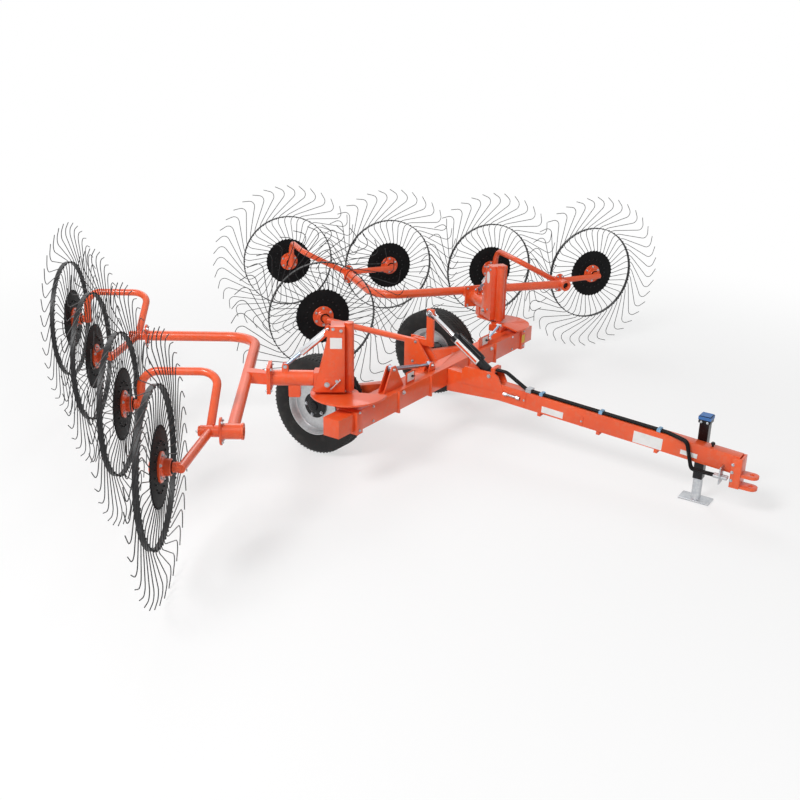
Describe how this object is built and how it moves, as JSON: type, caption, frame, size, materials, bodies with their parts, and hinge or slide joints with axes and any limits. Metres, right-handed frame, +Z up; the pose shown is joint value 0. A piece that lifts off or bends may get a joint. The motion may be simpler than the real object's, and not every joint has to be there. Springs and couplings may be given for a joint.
{
  "type": "wheel rake",
  "caption": "Towed V-shaped hay rake: two wings of large tined wheels on rocker arms, a centre wheel, two road wheels, a long drawbar with a clevis and a parking jack.",
  "frame": {"origin": "on the ground below the middle of the whole machine", "axes": "-Y is the direction of travel, towards the hitch; +X is the machine's left; +Z is up"},
  "size_m": [6.3652, 5.1553, 1.405],
  "materials": {
    "frame_paint": "gloss",
    "wheel_black": "satin",
    "tyre_rubber": "matt",
    "rim_silver": "satin",
    "zinc": "satin",
    "chrome": "polished"
  },
  "bodies": {
    "cart": {"cross_beam": "frame_paint", "drawbar": "frame_paint", "hitch": "frame_paint", "jack_tube": "wheel_black", "kicker_post": "frame_paint", "left_extension": "frame_paint", "right_extension": "frame_paint", "left_post": "frame_paint", "right_post": "frame_paint", "left_trailing_arm": "frame_paint", "right_trailing_arm": "frame_paint", "tie_ears": "frame_paint", "tie_bar": "zinc", "hoses": "wheel_black", "hose_clamps": "zinc", "coupler_rack": "zinc"},
    "jack_leg": {"jack_leg": "zinc"},
    "kicker_arm": {"kicker_arm": "frame_paint"},
    "kicker_wheel": {"kicker_wheel": "wheel_black"},
    "cylinder_barrel": {"cylinder_barrel": "wheel_black"},
    "cylinder_rod": {"cylinder_rod": "chrome"},
    "left_bracket": {"left_bracket": "frame_paint"},
    "left_wing": {"left_arm": "frame_paint", "left_beam": "frame_paint"},
    "left_strut_tube": {"left_strut_tube": "frame_paint"},
    "left_strut_rod": {"left_strut_rod": "zinc"},
    "left_road_wheel": {"left_tyre": "tyre_rubber", "left_rim": "rim_silver"},
    "left_rear_rocker": {"left_rear_rocker": "frame_paint"},
    "left_rake_wheel_1": {"left_rake_wheel_1": "wheel_black"},
    "left_rake_wheel_2": {"left_rake_wheel_2": "wheel_black"},
    "left_front_rocker": {"left_front_rocker": "frame_paint"},
    "left_rake_wheel_3": {"left_rake_wheel_3": "wheel_black"},
    "left_rake_wheel_4": {"left_rake_wheel_4": "wheel_black"},
    "right_bracket": {"right_bracket": "frame_paint"},
    "right_wing": {"right_arm": "frame_paint", "right_beam": "frame_paint"},
    "right_strut_tube": {"right_strut_tube": "frame_paint"},
    "right_strut_rod": {"right_strut_rod": "zinc"},
    "right_road_wheel": {"right_tyre": "tyre_rubber", "right_rim": "rim_silver"},
    "right_rear_rocker": {"right_rear_rocker": "frame_paint"},
    "right_rake_wheel_1": {"right_rake_wheel_1": "wheel_black"},
    "right_rake_wheel_2": {"right_rake_wheel_2": "wheel_black"},
    "right_front_rocker": {"right_front_rocker": "frame_paint"},
    "right_rake_wheel_3": {"right_rake_wheel_3": "wheel_black"},
    "right_rake_wheel_4": {"right_rake_wheel_4": "wheel_black"}
  },
  "joints": [
    {"name": "left_swing", "type": "hinge", "parent": "cart", "child": "left_bracket", "pos_m": [0.97655, -0.19886, 0.596], "axis": [0, 0, 1], "range_deg": [-10, 10]},
    {"name": "left_lift", "type": "hinge", "parent": "left_bracket", "child": "left_wing", "pos_m": [1.05553, -0.08814, 0.67], "axis": [0.8141, -0.5807, 0], "range_deg": [0, 20]},
    {"name": "left_strut_turn", "type": "hinge", "parent": "left_bracket", "child": "left_strut_tube", "pos_m": [1.0532, -0.0914, 1], "axis": [0.8141, -0.5807, 0], "range_deg": [0, 7.19]},
    {"name": "left_strut_slide", "type": "slide", "parent": "left_strut_tube", "child": "left_strut_rod", "axis": [0.439, 0.6155, -0.6545], "range_m": [-0.09526, 0]},
    {"name": "left_rear_rocker_turn", "type": "hinge", "parent": "left_wing", "child": "left_rear_rocker", "pos_m": [1.19631, 1.48687, 0.701], "axis": [0.5807, 0.8141, 0], "range_deg": [-10, 10]},
    {"name": "left_rake_wheel_1_spin", "type": "hinge", "parent": "left_rear_rocker", "child": "left_rake_wheel_1", "pos_m": [1.204, 2.16925, 0.701], "axis": [0.5807, 0.8141, 0], "continuous": true},
    {"name": "left_rake_wheel_2_spin", "type": "hinge", "parent": "left_rear_rocker", "child": "left_rake_wheel_2", "pos_m": [1.67231, 1.35862, 0.701], "axis": [0.5807, 0.8141, 0], "continuous": true},
    {"name": "left_front_rocker_turn", "type": "hinge", "parent": "left_wing", "child": "left_front_rocker", "pos_m": [2.13294, -0.1344, 0.701], "axis": [0.5807, 0.8141, 0], "range_deg": [-10, 10]},
    {"name": "left_rake_wheel_3_spin", "type": "hinge", "parent": "left_front_rocker", "child": "left_rake_wheel_3", "pos_m": [2.14063, 0.54798, 0.701], "axis": [0.5807, 0.8141, 0], "continuous": true},
    {"name": "left_rake_wheel_4_spin", "type": "hinge", "parent": "left_front_rocker", "child": "left_rake_wheel_4", "pos_m": [2.60894, -0.26265, 0.701], "axis": [0.5807, 0.8141, 0], "continuous": true},
    {"name": "left_road_wheel_spin", "type": "hinge", "parent": "cart", "child": "left_road_wheel", "pos_m": [0.733, 0.23925, 0.34], "axis": [1, 0, 0], "continuous": true},
    {"name": "right_swing", "type": "hinge", "parent": "cart", "child": "right_bracket", "pos_m": [-0.97655, -0.19886, 0.596], "axis": [0, 0, 1], "range_deg": [-10, 10]},
    {"name": "right_lift", "type": "hinge", "parent": "right_bracket", "child": "right_wing", "pos_m": [-1.05553, -0.08814, 0.67], "axis": [0.8141, 0.5807, 0], "range_deg": [0, 20]},
    {"name": "right_strut_turn", "type": "hinge", "parent": "right_bracket", "child": "right_strut_tube", "pos_m": [-1.0532, -0.0914, 1], "axis": [0.8141, 0.5807, 0], "range_deg": [0, 7.19]},
    {"name": "right_strut_slide", "type": "slide", "parent": "right_strut_tube", "child": "right_strut_rod", "axis": [-0.439, 0.6155, -0.6545], "range_m": [-0.09526, 0]},
    {"name": "right_rear_rocker_turn", "type": "hinge", "parent": "right_wing", "child": "right_rear_rocker", "pos_m": [-1.19631, 1.48687, 0.701], "axis": [-0.5807, 0.8141, 0], "range_deg": [-10, 10]},
    {"name": "right_rake_wheel_1_spin", "type": "hinge", "parent": "right_rear_rocker", "child": "right_rake_wheel_1", "pos_m": [-1.204, 2.16925, 0.701], "axis": [-0.5807, 0.8141, 0], "continuous": true},
    {"name": "right_rake_wheel_2_spin", "type": "hinge", "parent": "right_rear_rocker", "child": "right_rake_wheel_2", "pos_m": [-1.67231, 1.35862, 0.701], "axis": [-0.5807, 0.8141, 0], "continuous": true},
    {"name": "right_front_rocker_turn", "type": "hinge", "parent": "right_wing", "child": "right_front_rocker", "pos_m": [-2.13294, -0.1344, 0.701], "axis": [-0.5807, 0.8141, 0], "range_deg": [-10, 10]},
    {"name": "right_rake_wheel_3_spin", "type": "hinge", "parent": "right_front_rocker", "child": "right_rake_wheel_3", "pos_m": [-2.14063, 0.54798, 0.701], "axis": [-0.5807, 0.8141, 0], "continuous": true},
    {"name": "right_rake_wheel_4_spin", "type": "hinge", "parent": "right_front_rocker", "child": "right_rake_wheel_4", "pos_m": [-2.60894, -0.26265, 0.701], "axis": [-0.5807, 0.8141, 0], "continuous": true},
    {"name": "right_road_wheel_spin", "type": "hinge", "parent": "cart", "child": "right_road_wheel", "pos_m": [-0.733, 0.23925, 0.34], "axis": [1, 0, 0], "continuous": true},
    {"name": "jack_slide", "type": "slide", "parent": "cart", "child": "jack_leg", "axis": [0, 0, 1], "range_m": [0, 0.135]},
    {"name": "kicker_lift", "type": "hinge", "parent": "cart", "child": "kicker_arm", "pos_m": [0, -0.04575, 0.662], "axis": [1, 0, 0], "range_deg": [0, 20]},
    {"name": "kicker_wheel_spin", "type": "hinge", "parent": "kicker_arm", "child": "kicker_wheel", "pos_m": [-0.019, 0.78125, 0.701], "axis": [0.5807, 0.8141, 0], "continuous": true},
    {"name": "cylinder_turn", "type": "hinge", "parent": "cart", "child": "cylinder_barrel", "pos_m": [0, -0.69675, 0.546], "axis": [1, 0, 0], "range_deg": [-0.799, 0]},
    {"name": "cylinder_slide", "type": "slide", "parent": "cylinder_barrel", "child": "cylinder_rod", "axis": [0, 0.8296, 0.5584], "range_m": [-0.09745, 0]}
  ],
  "couplings": [
    {"joint": "left_strut_turn", "follows": "left_lift", "ratio": 0.35032},
    {"joint": "left_strut_slide", "follows": "left_lift", "m_per_rad": -0.25783},
    {"joint": "right_strut_turn", "follows": "right_lift", "ratio": 0.35032},
    {"joint": "right_strut_slide", "follows": "right_lift", "m_per_rad": -0.25783},
    {"joint": "cylinder_turn", "follows": "kicker_lift", "ratio": -0.03806},
    {"joint": "cylinder_slide", "follows": "kicker_lift", "m_per_rad": -0.26587}
  ]
}
